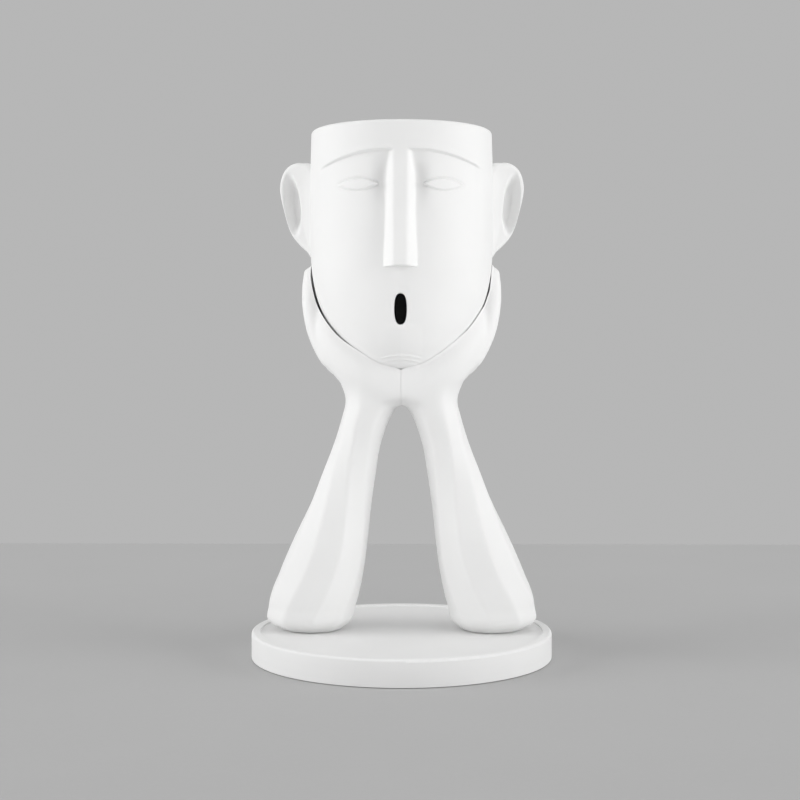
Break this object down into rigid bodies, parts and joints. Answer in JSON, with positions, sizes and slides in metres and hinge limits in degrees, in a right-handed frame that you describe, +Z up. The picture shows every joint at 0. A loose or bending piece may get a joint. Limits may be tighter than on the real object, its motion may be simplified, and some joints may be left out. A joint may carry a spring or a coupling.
{
  "type": "head planter",
  "caption": "Plant pot shaped as a stylised head with an open crown, resting in two hands whose forearms stand on a round saucer; the head and its inner liner lift out.",
  "frame": {"origin": "on the ground under the middle of the saucer", "axes": "+Z up, +X to the figure's left arm, the face looks along -Y"},
  "size_m": [0.13, 0.13, 0.226],
  "materials": {
    "white_print": "matte white, fine printed layers",
    "liner_plastic": "satin dark grey moulded",
    "dowel_wood": "plain beech",
    "screw_steel": "zinc-plated steel",
    "pad_rubber": "soft grey rubber"
  },
  "bodies": {
    "stand": {"base_saucer": "white_print", "left_arm": "white_print", "right_arm": "white_print", "wrist_dowel": "dowel_wood", "arm_screws": "screw_steel", "foot_pads": "pad_rubber"},
    "head": {"head_pot": "white_print"},
    "liner": {"liner_pot": "liner_plastic"}
  },
  "joints": [
    {"name": "head_lift", "type": "slide", "parent": "stand", "child": "head", "axis": [0, 0, 1], "range_m": [0, 0.1]},
    {"name": "liner_lift", "type": "slide", "parent": "head", "child": "liner", "axis": [0, 0, 1], "range_m": [0, 0.09]}
  ]
}
